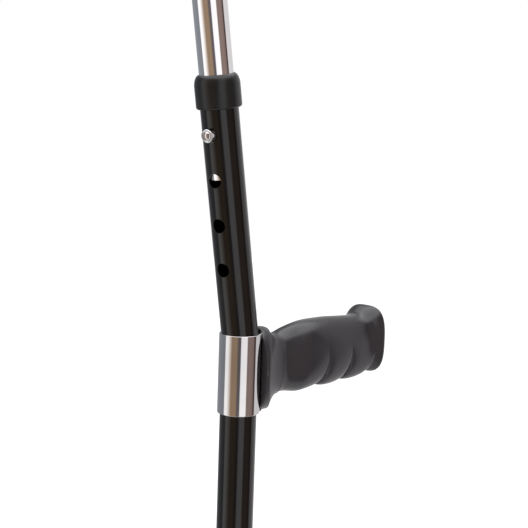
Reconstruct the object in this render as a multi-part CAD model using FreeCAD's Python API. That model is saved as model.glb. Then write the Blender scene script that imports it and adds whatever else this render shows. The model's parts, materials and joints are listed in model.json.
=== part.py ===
# Forearm crutch: an aluminium upright bent back at the hand grip, a cuff on a telescoping upper
# tube, a telescoping leg with a rubber tip, and a snap button in each telescoping joint.
# Frame: origin at the centre of the tip's sole, +Z up along the lower upright, +X forward along
# the hand grip, -Y to the crutch's right. Millimetres.

import FreeCAD, Part
import math
import os

V = FreeCAD.Vector

GAP = 0.3               # between pieces that don't touch

# Upright
BEND_Z = 870.0          # height of the bend above the sole
BEND_DEG = 9.4          # the upper upright leans back by this much
BEND_R = 40.0           # centre-line radius of the bend
OUTER_R = 10.7          # outer tube, 21.4 mm across
OUTER_WALL = 1.1
OUTER_UP = 147.0        # length of the outer tube above the bend
OUTER_LOW_Z = 300.0     # lower end of the outer tube
PITCH = 25.4            # one inch between adjustment holes
HOLE_R = 4.0            # adjustment hole
HOLE_TURN_DEG = 9.5     # the hole rows sit this far round from straight back
BUTTON_UP = 120.1       # first upper hole above the bend
UPPER_HOLES = 4
LEG_HOLE_Z = 330.0      # lowest leg hole
LEG_HOLES = 10
LEG_HOLE_AT_REST = 4    # counted from the lowest, starting at 0

# Telescoping tubes, three quarters of an inch across
INNER_R = 9.525
INNER_WALL = 1.0
FOREARM_LOW = 94.7      # lower end of the forearm tube above the bend
FOREARM_TOP = 283.0
LEG_TOP_PAST_BUTTON = 25.4
LEG_LOW_Z = 13.0

# Snap buttons and their V-shaped leaf springs
BUTTON_R = 3.8
BUTTON_OUT = 4.2        # how far the dome stands out of the outer tube
BUTTON_DOME = 1.5
BUTTON_FLANGE_R = 4.6
BUTTON_FLANGE_T = 0.9
BUTTON_CLEAR = 0.1      # round the button in the inner tube's hole
FLANGE_TO_BORE = 0.2
LEAF_W = 8.0
LEAF_T = 0.7
LEAF_UP = 17.0          # from the button up to the spring's bend
LEAF_DOWN = 9.0
LEAF_STRAIGHT = 6.0     # flat of the near leg above the button
LEAF_BEND_HALF = 1.2    # half width of the spring's bend

# Tube collars, measured above the bend
COLLAR_R = 12.75
COLLAR_LOW = 133.7
COLLAR_FOOT_ROUND = 1.2
COLLAR_SHOULDER = 146.5
COLLAR_TOP = 152.3
COLLAR_LIP_R = 9.9
COLLAR_BORE_GAP = 0.08

# Strap clamp, heights measured from the bend
STRAP_OUT_R = 12.25
STRAP_TOP = 3.9
STRAP_LOW = -42.7
EAR_Y = 6.1             # inner face of each ear
EAR_T = 1.5
EAR_FROM = 5.0
EAR_FULL_TO = 14.0      # the ears keep their full height up to here, then taper
EAR_REACH = 32.0
EAR_END_HALF = 11.0

# Core of the hand grip and its fasteners
GRIP_Z = -15.5          # axis of the core and the grip
CORE_R = 6.0
CORE_WALL = 1.5
CORE_FROM = 15.0
CORE_TO = 104.0
RIVET_X = (19.5, 27.5)
RIVET_R = 2.4
RIVET_HEAD_R = 3.8
RIVET_HEAD_T = 1.5
INSERT_LEN = 12.0
SCREW_R = 2.5
SCREW_BITE = 10.0       # length of the screw inside the insert
SCREW_CLEAR = 0.2
SCREW_HEAD_R = 4.2
SCREW_HEAD_T = 1.6
GRIP_WASHER_T = 1.2
PLUG_X = 112.0          # floor of the recess in the grip's end
PLUG_R = 8.5

# Hand grip
GRIP_END_X = 113.0
GRIP_DOME = 3.4
FLANGE_HALF_Y = 14.2
FLANGE_T = 4.6
FLANGE_TOP = 6.2
FLANGE_LOW = -44.2
FLANGE_FROM = 4.0       # the saddle flange wraps the strap back to here
FINGER_CREASES = (63.5, 85.5, 107.5)
CREASE_DEPTH = 2.6
# (distance forward, half width, underside, top) of sections along the grip
SKIRT_ROOT = (14.0, 13.6, -42.0, 5.2)
GRIP_STATIONS = (
    (24.0, 11.6, -34.6, 0.6),
    (36.0, 12.9, -34.6, 3.4),
    (48.0, 13.8, -36.3, 5.4),
    (FINGER_CREASES[0], 13.8, -36.0 + CREASE_DEPTH, 6.2),
    (74.0, 14.0, -35.8, 6.2),
    (FINGER_CREASES[1], 13.8, -35.6 + CREASE_DEPTH, 5.4),
    (96.0, 14.2, -35.0, 4.6),
    (FINGER_CREASES[2], 15.4, -33.6, 8.4),
    (GRIP_END_X, 15.8, -32.6, 9.6),
)
GRIP_END_FACE = (GRIP_END_X + GRIP_DOME, 13.0, -30.0, 6.4)

# Cuff and its bracket, measured along the upper upright and forward from its axis
PIVOT_UP = 266.0
PIVOT_R = 3.0
PIVOT_CLEAR = 0.06
CHEEK_Y = 10.7
CHEEK_T = 2.0
WEB_X = 17.0            # back of the bracket's web
WEB_T = 2.0
WEB_HALF = 17.0
NOSE_R = 8.5            # round end of each cheek
CUFF_R = 44.0           # inside of the cuff
CUFF_T = 5.0
CUFF_HALF = 31.0
CUFF_MOUTH_DEG = 100.0
BAND_T = 1.4
BAND_HALF = 25.0
BAND_SHORT_DEG = 12.0   # the band's ends stop short of the cover's by half of this each
CUFF_RIVET_Z = 10.5
CUFF_RIVET_R = 2.0
CUFF_RIVET_BACK = (3.8, 1.2)      # radius and thickness of the head behind the web
CUFF_RIVET_FRONT = (4.6, 1.0)     # and of the head inside the cuff

# Pivot hardware
BOLT_HEAD_R = 5.6
BOLT_HEAD_H = 3.2
BOLT_HEAD_ROUND = 1.4
BOLT_KEY_R = 2.0
BOLT_KEY_DEEP = 2.0
BOLT_PAST_CHEEK = 6.5
NUT_R = 5.6             # across its corners, halved
NUT_H = 4.0
NUT_RING_R = 4.4
NUT_RING_H = 1.4
HARDWARE_GAP = 0.1
SADDLE_WASHER_R = 7.0
SADDLE_WASHER_T = 6.0
SADDLE_WASHER_GAP = 0.06
TOP_PLUG_DEEP = 12.0
TOP_PLUG_H = 3.0

# Rubber tip
TIP_H = 60.0
TIP_SOLE_R = 24.0
TIP_SOLE_H = 7.0        # height of the sole's rim
TIP_SOLE_ROUND = 1.2
TIP_WAIST = (16.4, 24.0)          # radius and height where the bell meets the neck
TIP_FOOT = (19.0, 13.5)           # radius and height on the bell
TIP_NECK_R = 14.2
TIP_RING_R = 14.8       # bead round the mouth
TIP_RING_H = 8.0
TIP_SOCKET_R = INNER_R
TIP_GROOVE_W = 2.4
TIP_GROOVE_D = 2.5
TIP_GROOVES = (7.0, 12.4, 17.8)   # inner radii of the sole's grooves
TIP_WASHER_T = 2.0

BEND = V(0, 0, BEND_Z)


# ---- Tools of the trade --------------------------------------------------------------------

def save(name, shape):
    shape.exportStep("parts/" + name + ".step")


def cyl(radius, length, at=V(0, 0, 0), along=V(0, 0, 1)):
    return Part.makeCylinder(radius, length, at, along)


def pipe(outer, inner, z0, z1):
    """Straight round tube along Z."""
    return cyl(outer, z1 - z0, V(0, 0, z0)).cut(cyl(inner, z1 - z0 + 2, V(0, 0, z0 - 1)))


def across(radius, half_length, x, z):
    """Round bar along Y, centred on the XZ plane."""
    return cyl(radius, 2 * half_length, V(x, -half_length, z), V(0, 1, 0))


def fuse(shapes):
    return shapes[0].multiFuse(shapes[1:]).removeSplitter()


def lathe(points, arcs=()):
    """Turned solid about Z from (radius, height) corners; each arc is (corner number, point on it)."""
    bulge = dict(arcs)
    edges = []
    for i, (r, z) in enumerate(points):
        start = V(r, 0, z)
        r_next, z_next = points[(i + 1) % len(points)]
        end = V(r_next, 0, z_next)
        if i in bulge:
            edges.append(Part.Arc(start, V(bulge[i][0], 0, bulge[i][1]), end).toShape())
        else:
            edges.append(Part.LineSegment(start, end).toShape())
    return Part.Face(Part.Wire(edges)).revolve(V(0, 0, 0), V(0, 0, 1), 360)


def crown_point(radius, height, top):
    """Point half way along the arc of a crown that rises by height to top on the axis."""
    crown_r = (radius ** 2 + height ** 2) / (2 * height)
    half = math.asin(radius / crown_r) / 2
    return (crown_r * math.sin(half), top - crown_r * (1 - math.cos(half)))


def box_between(low, high):
    size = [high[i] - low[i] for i in range(3)]
    return Part.makeBox(size[0], size[1], size[2], V(*low))


def plate_xz(points, y0, y1):
    """Flat plate across Y from (x, z) corners."""
    ring = [V(x, y0, z) for x, z in points]
    face = Part.Face(Part.makePolygon(ring + [ring[0]]))
    return face.extrude(V(0, y1 - y0, 0))


def prism(radius, depth, y, z, sides):
    """Regular prism along +Y, its corners at the given radius."""
    ring = []
    for i in range(sides):
        angle = 2 * math.pi * i / sides
        ring.append(V(radius * math.cos(angle), y, z + radius * math.sin(angle)))
    return Part.Face(Part.makePolygon(ring + [ring[0]])).extrude(V(0, depth, 0))


def on_upper(shape):
    """Takes a shape made along +Z from the bend to its place on the leaning upright."""
    placed = shape.copy()
    placed.rotate(V(0, 0, 0), V(0, 1, 0), -BEND_DEG)
    placed.translate(BEND)
    return placed


def at_bend(shape):
    placed = shape.copy()
    placed.translate(BEND)
    return placed


def hole_direction():
    """Level direction of the hole rows: back, and a little to the right."""
    turn = math.radians(HOLE_TURN_DEG)
    return V(-math.cos(turn), -math.sin(turn), 0)


def leg_button_z():
    return LEG_HOLE_Z + LEG_HOLE_AT_REST * PITCH


# ---- Upright ---------------------------------------------------------------------------------

def bent_rod(radius, low_z, up):
    """Solid rod along the bent centre line, low_z below the bend to up above it."""
    lean = math.radians(BEND_DEG)
    tangent = BEND_R * math.tan(lean / 2)
    upper = V(-math.sin(lean), 0, math.cos(lean))
    start = V(0, 0, low_z)
    first = V(0, 0, -tangent)
    second = upper * tangent
    centre = V(-BEND_R, 0, -tangent)
    middle = centre + V(math.cos(lean / 2), 0, math.sin(lean / 2)) * BEND_R
    path = Part.Wire([
        Part.LineSegment(start, first).toShape(),
        Part.Arc(first, middle, second).toShape(),
        Part.LineSegment(second, upper * up).toShape(),
    ])
    profile = Part.Wire([Part.makeCircle(radius, start, V(0, 0, 1))])
    return path.makePipeShell([profile], True, False)


def outer_tube():
    low = OUTER_LOW_Z - BEND_Z
    shell = bent_rod(OUTER_R, low, OUTER_UP)
    shell = shell.cut(bent_rod(OUTER_R - OUTER_WALL, low, OUTER_UP))
    drill = hole_direction()
    upper = [cyl(HOLE_R, 2 * OUTER_R, V(0, 0, BUTTON_UP - i * PITCH), drill) for i in range(UPPER_HOLES)]
    lower = [cyl(HOLE_R, 2 * OUTER_R, V(0, 0, LEG_HOLE_Z + i * PITCH), drill) for i in range(LEG_HOLES)]
    shell = at_bend(shell)
    for hole in [on_upper(h) for h in upper] + lower:
        shell = shell.cut(hole)
    return shell


def collar():
    """Moulded ferrule on the outer tube's upper end, its rounded shoulder closing on the inner tube."""
    shoulder_bulge = (COLLAR_R - 0.75, (COLLAR_SHOULDER + 2 * COLLAR_TOP) / 3)
    body = lathe([
        (0, COLLAR_LOW), (COLLAR_R - COLLAR_FOOT_ROUND, COLLAR_LOW),
        (COLLAR_R, COLLAR_LOW + COLLAR_FOOT_ROUND), (COLLAR_R, COLLAR_SHOULDER),
        (COLLAR_LIP_R, COLLAR_TOP), (0, COLLAR_TOP),
    ], [(3, shoulder_bulge)])
    body = body.cut(cyl(OUTER_R, OUTER_UP - COLLAR_LOW + 1, V(0, 0, COLLAR_LOW - 1)))
    return body.cut(cyl(INNER_R + COLLAR_BORE_GAP, COLLAR_TOP, V(0, 0, OUTER_UP - 1)))


def leg_collar():
    """The same ferrule, upside down on the outer tube's lower end."""
    ferrule = collar()
    ferrule.rotate(V(0, 0, 0), V(1, 0, 0), 180)
    ferrule.translate(V(0, 0, OUTER_LOW_Z + OUTER_UP))
    return ferrule


# ---- Telescoping tubes and snap buttons --------------------------------------------------------

def inner_tube(low, top, button_z):
    tube = pipe(INNER_R, INNER_R - INNER_WALL, low, top)
    return tube.cut(cyl(BUTTON_R + BUTTON_CLEAR, 2 * INNER_R, V(0, 0, button_z), hole_direction()))


def forearm_tube():
    return inner_tube(FOREARM_LOW, FOREARM_TOP, BUTTON_UP).cut(across(PIVOT_R, 2 * INNER_R, 0, PIVOT_UP))


def leg_tube():
    return inner_tube(LEG_LOW_Z, leg_button_z() + LEG_TOP_PAST_BUTTON, leg_button_z())


def bore_depth(half_width):
    """How far from the axis a flat piece of this half width touches the inner tube's bore."""
    return math.sqrt((INNER_R - INNER_WALL) ** 2 - half_width ** 2)


def button_base():
    """Distance of the button's flat back from the tube's axis."""
    return bore_depth(BUTTON_FLANGE_R) - BUTTON_FLANGE_T - FLANGE_TO_BORE


def snap_button(z):
    """Domed stud with a retaining flange, pointing out of the tube's axis."""
    base = button_base()
    shoulder = base + BUTTON_FLANGE_T
    tip = OUTER_R + BUTTON_OUT
    stud = lathe([
        (0, base), (BUTTON_FLANGE_R, base), (BUTTON_FLANGE_R, shoulder), (BUTTON_R, shoulder),
        (BUTTON_R, tip - BUTTON_DOME), (0, tip),
    ], [(4, crown_point(BUTTON_R, BUTTON_DOME, tip))])
    turn = FreeCAD.Rotation(V(0, 0, 1), hole_direction())
    stud.Placement = FreeCAD.Placement(V(0, 0, z), turn)
    return stud


def leaf_spring(z):
    """V-shaped leaf: one leg lies behind the button, the other on the far wall of the tube."""
    near = button_base()
    far = HARDWARE_GAP - bore_depth(LEAF_W / 2)
    top = z + LEAF_UP
    low = z - LEAF_DOWN
    knee = z + LEAF_STRAIGHT
    inner_top = top - 2 * LEAF_T
    outline = [
        (near - LEAF_T, low), (near, low), (near, knee), (LEAF_BEND_HALF, top), (-LEAF_BEND_HALF, top),
        (far, knee), (far, low), (far + LEAF_T, low), (far + LEAF_T, knee),
        (-LEAF_BEND_HALF / 2, inner_top), (LEAF_BEND_HALF / 2, inner_top), (near - LEAF_T, knee),
    ]
    leaf = plate_xz(outline, -LEAF_W / 2, LEAF_W / 2)
    leaf.rotate(V(0, 0, 0), V(0, 0, 1), 180 + HOLE_TURN_DEG)
    return leaf


def top_plug():
    """Moulded plug in the forearm tube's upper end, with a domed head."""
    bore = INNER_R - INNER_WALL
    top = FOREARM_TOP + TOP_PLUG_H
    return lathe([
        (0, FOREARM_TOP - TOP_PLUG_DEEP), (bore, FOREARM_TOP - TOP_PLUG_DEEP), (bore, FOREARM_TOP),
        (INNER_R, FOREARM_TOP), (0, top),
    ], [(3, crown_point(INNER_R, TOP_PLUG_H, top))])


# ---- Strap clamp and hand grip -------------------------------------------------------------------

def rivet_holes():
    return Part.Compound([across(RIVET_R, 2 * EAR_Y, x, GRIP_Z) for x in RIVET_X])


def ear_outline(margin=0.0):
    """(x, z) corners of an ear, or of the pocket round it."""
    middle = (STRAP_TOP + STRAP_LOW) / 2
    low = STRAP_LOW - margin
    top = STRAP_TOP + margin
    end_half = EAR_END_HALF + margin
    end = EAR_REACH + margin
    return [(EAR_FROM, low), (EAR_FULL_TO, low), (end, middle - end_half), (end, middle + end_half),
            (EAR_FULL_TO, top), (EAR_FROM, top)]


def handle_clamp():
    """Strip of polished steel wrapped round the upright, its two ends running forward as ears."""
    pieces = [cyl(STRAP_OUT_R, STRAP_TOP - STRAP_LOW, V(0, 0, STRAP_LOW))]
    for y0 in (EAR_Y, -EAR_Y - EAR_T):
        pieces.append(plate_xz(ear_outline(), y0, y0 + EAR_T))
    slit = box_between((0, -EAR_Y, STRAP_LOW - 1), (EAR_REACH + 1, EAR_Y, STRAP_TOP + 1))
    upright = bent_rod(OUTER_R, 2 * STRAP_LOW, -STRAP_LOW)
    return fuse(pieces).cut(slit).cut(upright).cut(rivet_holes())


def handle_core():
    """Steel tube held between the ears, which carries the grip."""
    core = cyl(CORE_R, CORE_TO - CORE_FROM, V(CORE_FROM, 0, GRIP_Z), V(1, 0, 0))
    bore = cyl(CORE_R - CORE_WALL, CORE_TO, V(0, 0, GRIP_Z), V(1, 0, 0))
    return core.cut(bore).cut(rivet_holes())


def core_rivets():
    face = EAR_Y + EAR_T
    both = []
    for x in RIVET_X:
        rivet = [across(RIVET_R, face, x, GRIP_Z)]
        for side in (-1, 1):
            rivet.append(cyl(RIVET_HEAD_R, RIVET_HEAD_T, V(x, side * face, GRIP_Z), V(0, side, 0)))
        both.append(fuse(rivet))
    return Part.Compound(both)


def oval(x, half_y, z_low, z_high):
    """Closed oval across the grip at a distance x from the upright's axis."""
    half_z = (z_high - z_low) / 2
    centre = V(x, 0, (z_high + z_low) / 2)
    return Part.Wire([Part.Ellipse(centre + V(0, 0, half_z), centre - V(0, half_y, 0), centre).toShape()])


def saddle_flange():
    """Plate at the grip's root that hugs the strap clamp."""
    saddle = cyl(STRAP_OUT_R + GAP + FLANGE_T, FLANGE_TOP - FLANGE_LOW, V(0, 0, FLANGE_LOW))
    rear_low = (FLANGE_FROM, -FLANGE_HALF_Y, FLANGE_LOW)
    front_top = (2 * STRAP_OUT_R, FLANGE_HALF_Y, FLANGE_TOP)
    return saddle.common(box_between(rear_low, front_top))


def hand_grip():
    body = Part.makeLoft([oval(*station) for station in GRIP_STATIONS], True, False)
    end_cap = Part.makeLoft([oval(*GRIP_STATIONS[-1]), oval(*GRIP_END_FACE)], True, True)
    skirt = Part.makeLoft([oval(*SKIRT_ROOT), oval(*GRIP_STATIONS[0])], True, True)
    grip = fuse([body, end_cap, saddle_flange(), skirt])
    ear_face = EAR_Y + EAR_T
    heads = across(RIVET_HEAD_R + GAP, ear_face + RIVET_HEAD_T, RIVET_X[0], GRIP_Z)
    heads = heads.fuse(across(RIVET_HEAD_R + GAP, ear_face + RIVET_HEAD_T, RIVET_X[1], GRIP_Z))
    hollows = [
        cyl(STRAP_OUT_R + GAP, 2 * (FLANGE_TOP - FLANGE_LOW), V(0, 0, 2 * FLANGE_LOW)),
        plate_xz(ear_outline(GAP), -ear_face, ear_face),
        heads,
        cyl(CORE_R, CORE_TO + 1, V(0, 0, GRIP_Z), V(1, 0, 0)),
        cyl(SCREW_R + SCREW_CLEAR, PLUG_X - CORE_TO, V(CORE_TO, 0, GRIP_Z), V(1, 0, 0)),
        cyl(PLUG_R, 2 * GRIP_DOME + 2, V(PLUG_X, 0, GRIP_Z), V(1, 0, 0)),
    ]
    for hollow in hollows:
        grip = grip.cut(hollow)
    return grip


def core_insert():
    """Threaded insert in the core's free end, which the grip screw bites in."""
    insert = cyl(CORE_R - CORE_WALL, INSERT_LEN, V(CORE_TO - INSERT_LEN, 0, GRIP_Z), V(1, 0, 0))
    return insert.cut(cyl(SCREW_R, INSERT_LEN + 2, V(CORE_TO - INSERT_LEN - 1, 0, GRIP_Z), V(1, 0, 0)))


def grip_washer():
    washer = cyl(PLUG_R - GAP, GRIP_WASHER_T, V(PLUG_X, 0, GRIP_Z), V(1, 0, 0))
    return washer.cut(cyl(SCREW_R, GRIP_WASHER_T + 2, V(PLUG_X - 1, 0, GRIP_Z), V(1, 0, 0)))


def grip_screw():
    seat = PLUG_X + GRIP_WASHER_T
    start = CORE_TO - SCREW_BITE
    shank = cyl(SCREW_R, seat - start, V(start, 0, GRIP_Z), V(1, 0, 0))
    head = cyl(SCREW_HEAD_R, SCREW_HEAD_T, V(seat, 0, GRIP_Z), V(1, 0, 0))
    return fuse([shank, head])


def grip_end_plug():
    inner = PLUG_X + GRIP_WASHER_T + SCREW_HEAD_T
    outer = GRIP_END_X + GRIP_DOME
    return cyl(PLUG_R, outer - inner, V(inner, 0, GRIP_Z), V(1, 0, 0))


# ---- Cuff ------------------------------------------------------------------------------------------

def cheek_outside():
    """How far from the middle the outer face of each cheek lies, with room for the hardware."""
    return CHEEK_Y + CHEEK_T + HARDWARE_GAP


def cuff_pivot_bolt():
    face = -cheek_outside()
    top = face - BOLT_HEAD_H
    shank = cyl(PIVOT_R, BOLT_PAST_CHEEK - 2 * face, V(0, face, PIVOT_UP), V(0, 1, 0))
    head = cyl(BOLT_HEAD_R, BOLT_HEAD_H, V(0, face, PIVOT_UP), V(0, -1, 0))
    rim = [edge for edge in head.Edges if edge.BoundBox.YMax < top + 0.01]
    head = head.makeFillet(BOLT_HEAD_ROUND, rim)
    return fuse([head, shank]).cut(prism(BOLT_KEY_R, BOLT_KEY_DEEP, top, PIVOT_UP, 6))


def cuff_pivot_nut():
    face = cheek_outside()
    nut = prism(NUT_R, NUT_H, face, PIVOT_UP, 6)
    ring = cyl(NUT_RING_R, NUT_RING_H, V(0, face + NUT_H, PIVOT_UP), V(0, 1, 0))
    return fuse([nut, ring]).cut(across(PIVOT_R, 2 * face, 0, PIVOT_UP))


def pivot_washers():
    """Two saddle washers that fill the space between the round tube and the flat cheeks."""
    both = []
    for side in (-1, 1):
        face = V(0, side * (CHEEK_Y - SADDLE_WASHER_GAP), PIVOT_UP)
        washer = cyl(SADDLE_WASHER_R, SADDLE_WASHER_T, face, V(0, -side, 0))
        washer = washer.cut(cyl(INNER_R, 2 * WEB_HALF, V(0, 0, PIVOT_UP - WEB_HALF)))
        both.append(washer.cut(across(PIVOT_R, 2 * INNER_R, 0, PIVOT_UP)))
    return Part.Compound(both)


def cuff_axis_x():
    return WEB_X + WEB_T + CUFF_R + CUFF_T


def cuff_ring(r0, r1, half, mouth_deg):
    """Part of a ring about the cuff's axis, open at the front."""
    ring = Part.makeCylinder(r1, 2 * half, V(0, 0, -half), V(0, 0, 1), 360 - mouth_deg)
    ring = ring.cut(cyl(r0, 2 * half + 2, V(0, 0, -half - 1)))
    ring.rotate(V(0, 0, 0), V(0, 0, 1), mouth_deg / 2)
    ring.translate(V(cuff_axis_x(), 0, PIVOT_UP))
    return ring


def band_ring():
    inner = CUFF_R + (CUFF_T - BAND_T) / 2
    return cuff_ring(inner, inner + BAND_T, BAND_HALF, CUFF_MOUTH_DEG + BAND_SHORT_DEG)


def cuff_rivets():
    both = []
    back_r, back_t = CUFF_RIVET_BACK
    front_r, front_t = CUFF_RIVET_FRONT
    for z in (PIVOT_UP - CUFF_RIVET_Z, PIVOT_UP + CUFF_RIVET_Z):
        shank = cyl(CUFF_RIVET_R, CUFF_T + WEB_T, V(WEB_X, 0, z), V(1, 0, 0))
        back = cyl(back_r, back_t, V(WEB_X - back_t, 0, z), V(1, 0, 0))
        inside = cyl(front_r, front_t, V(WEB_X + WEB_T + CUFF_T, 0, z), V(1, 0, 0))
        both.append(fuse([shank, back, inside]))
    return Part.Compound(both)


def cuff_bracket():
    """Pressed steel fork: two cheeks on the pivot, and a web curved to the cuff's back."""
    wide = CHEEK_Y + CHEEK_T
    back_of_cuff = CUFF_R + CUFF_T
    reach = WEB_X + WEB_T
    web = cuff_ring(back_of_cuff, back_of_cuff + WEB_T, WEB_HALF, 0)
    room = box_between((0, -wide, PIVOT_UP - WEB_HALF), (2 * WEB_X, wide, PIVOT_UP + WEB_HALF))
    pieces = [web.common(room)]
    for y0 in (CHEEK_Y, -wide):
        cheek = plate_xz([(0, PIVOT_UP - NOSE_R), (reach, PIVOT_UP - WEB_HALF),
                          (reach, PIVOT_UP + WEB_HALF), (0, PIVOT_UP + NOSE_R)], y0, y0 + CHEEK_T)
        pieces.append(cheek.fuse(cyl(NOSE_R, CHEEK_T, V(0, y0, PIVOT_UP), V(0, 1, 0))))
    bracket = fuse(pieces)
    bracket = bracket.cut(cyl(back_of_cuff, 4 * WEB_HALF, V(cuff_axis_x(), 0, PIVOT_UP - 2 * WEB_HALF)))
    return bracket.cut(across(PIVOT_R + PIVOT_CLEAR, 2 * wide, 0, PIVOT_UP)).cut(cuff_rivets())


def cuff_band():
    return band_ring().cut(cuff_rivets())


def cuff_cover():
    """Padded sleeve moulded round the band, its mouth edges rounded."""
    pieces = [cuff_ring(CUFF_R, CUFF_R + CUFF_T, CUFF_HALF, CUFF_MOUTH_DEG)]
    middle = CUFF_R + CUFF_T / 2
    for side in (-1, 1):
        angle = math.radians(side * CUFF_MOUTH_DEG / 2)
        at = V(cuff_axis_x() + middle * math.cos(angle), middle * math.sin(angle), PIVOT_UP - CUFF_HALF)
        pieces.append(cyl(CUFF_T / 2, 2 * CUFF_HALF, at))
    return fuse(pieces).cut(band_ring()).cut(cuff_rivets())


# ---- Tip -------------------------------------------------------------------------------------------

def rubber_tip():
    """Bell-shaped ferrule with a blind socket for the leg tube and ring grooves in its sole."""
    neck_low = (TIP_NECK_R, TIP_H - TIP_RING_H)
    tip = lathe([
        (0, 0), (TIP_SOLE_R - TIP_SOLE_ROUND, 0), (TIP_SOLE_R, TIP_SOLE_ROUND), (TIP_SOLE_R, TIP_SOLE_H),
        TIP_FOOT, TIP_WAIST, neck_low, (TIP_RING_R, neck_low[1] + 1.5), (TIP_RING_R, TIP_H - 1.2),
        (TIP_RING_R - 1.0, TIP_H), (0, TIP_H),
    ])
    tip = tip.cut(cyl(TIP_SOCKET_R, TIP_H, V(0, 0, LEG_LOW_Z - TIP_WASHER_T)))
    for inner in TIP_GROOVES:
        tip = tip.cut(pipe(inner + TIP_GROOVE_W, inner, -1, TIP_GROOVE_D))
    return tip


def tip_washer():
    return cyl(TIP_SOCKET_R, TIP_WASHER_T, V(0, 0, LEG_LOW_Z - TIP_WASHER_T))


def main():
    os.makedirs("parts", exist_ok=True)
    for build in (outer_tube, leg_collar, leg_tube, rubber_tip, tip_washer):
        save(build.__name__, build())
    for build in (handle_clamp, handle_core, core_rivets, core_insert, hand_grip, grip_washer, grip_screw,
                  grip_end_plug):
        save(build.__name__, at_bend(build()))
    for build in (forearm_tube, top_plug, pivot_washers, cuff_pivot_bolt, cuff_pivot_nut, cuff_bracket,
                  cuff_rivets, cuff_band, cuff_cover):
        save(build.__name__, on_upper(build()))
    save("upper_collar", on_upper(collar()))
    save("forearm_button", on_upper(snap_button(BUTTON_UP)))
    save("forearm_button_spring", on_upper(leaf_spring(BUTTON_UP)))
    save("leg_button", snap_button(leg_button_z()))
    save("leg_button_spring", leaf_spring(leg_button_z()))


main()
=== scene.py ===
import json
import math

import bmesh
import bpy
import numpy as np
from mathutils import Matrix, Vector


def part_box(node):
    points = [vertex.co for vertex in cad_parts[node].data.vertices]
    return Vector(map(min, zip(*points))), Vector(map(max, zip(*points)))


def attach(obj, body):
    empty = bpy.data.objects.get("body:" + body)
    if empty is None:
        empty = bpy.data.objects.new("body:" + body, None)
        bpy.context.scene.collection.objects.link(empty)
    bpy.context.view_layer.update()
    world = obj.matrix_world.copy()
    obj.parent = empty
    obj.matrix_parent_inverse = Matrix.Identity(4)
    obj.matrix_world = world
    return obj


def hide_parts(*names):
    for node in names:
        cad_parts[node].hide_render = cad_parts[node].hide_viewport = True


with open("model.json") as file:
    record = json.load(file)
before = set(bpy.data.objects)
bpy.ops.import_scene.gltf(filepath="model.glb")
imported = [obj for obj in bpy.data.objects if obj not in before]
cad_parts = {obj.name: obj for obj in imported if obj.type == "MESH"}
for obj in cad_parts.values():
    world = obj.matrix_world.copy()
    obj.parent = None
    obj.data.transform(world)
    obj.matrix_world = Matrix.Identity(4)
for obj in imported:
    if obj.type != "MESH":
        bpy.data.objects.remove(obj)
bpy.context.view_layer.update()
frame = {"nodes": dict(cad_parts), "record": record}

# Looks of a forearm crutch, built round its CAD frame. Metres; local shapes are drawn in millimetres.
MM = 0.001

# ---- Places taken from the frame -----------------------------------------------------------------

JOINTS = {j["name"]: j for j in frame["record"]["behaviour"]["joints"]}
UP = Vector(JOINTS["forearm_slide"]["axis"]).normalized()       # along the leaning upper upright
PIVOT = Vector(JOINTS["cuff_pivot"]["pos_m"])
PIVOT_UP = 266.0                                                 # cuff pivot above the bend, mm
BEND = PIVOT - UP * (PIVOT_UP * MM)
LEAN = math.atan2(-UP.x, UP.z)
BUTTON_OUT_UPPER = -Vector(JOINTS["forearm_button_press"]["axis"]).normalized()
BUTTON_OUT_LEG = -Vector(JOINTS["leg_button_press"]["axis"]).normalized()

# Sizes that the looks share with the frame, mm
OUTER_R, OUTER_WALL = 10.7, 1.1
INNER_R, INNER_WALL = 9.525, 1.0
PITCH = 25.4
HOLE_R = 4.0
UPPER_HOLES = 4
LEG_HOLES_BELOW, LEG_HOLES_ABOVE = 4, 5                          # on each side of the one the button is in
BUTTON_UP = 120.1
BUTTON_R = 3.8
BUTTON_TIP = 14.9                                                # dome's top from the tube's axis
FLANGE_R, FLANGE_T = 4.6, 0.9
OUTER_UP = 147.0                                                 # outer tube's top end, above the bend
FOREARM_LOW, FOREARM_TOP = 94.7, 283.0                           # ends of the forearm tube, above the bend
BEND_R = 40.0
STRAP_R = 12.25
STRAP_TOP, STRAP_LOW = 3.9, -42.7
TIP_H = 60.0
CUFF_AXIS_X = 68.0
CUFF_R = 44.0
GRIP_AXIS_Z = -15.5

TO_BEND = Matrix.Translation(BEND) @ Matrix.Scale(MM, 4)
TO_UPPER = Matrix.Translation(BEND) @ Matrix.Rotation(-LEAN, 4, "Y") @ Matrix.Scale(MM, 4)
TO_FLOOR = Matrix.Scale(MM, 4)


# ---- Node material helpers -------------------------------------------------------------------------

def new_material(name):
    mat = bpy.data.materials.new(name)
    mat.use_nodes = True
    tree = mat.node_tree
    tree.nodes.clear()
    out = tree.nodes.new("ShaderNodeOutputMaterial")
    shader = tree.nodes.new("ShaderNodeBsdfPrincipled")
    tree.links.new(shader.outputs["BSDF"], out.inputs["Surface"])
    return mat, tree, shader


def noise(tree, scale, detail=4.0, stretch=(1, 1, 1), roughness=0.55):
    coord = tree.nodes.new("ShaderNodeTexCoord")
    mapping = tree.nodes.new("ShaderNodeMapping")
    mapping.inputs["Scale"].default_value = stretch
    tex = tree.nodes.new("ShaderNodeTexNoise")
    tex.inputs["Scale"].default_value = scale
    tex.inputs["Detail"].default_value = detail
    tex.inputs["Roughness"].default_value = roughness
    tree.links.new(coord.outputs["Object"], mapping.inputs["Vector"])
    tree.links.new(mapping.outputs["Vector"], tex.inputs["Vector"])
    return tex.outputs["Fac"]


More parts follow.
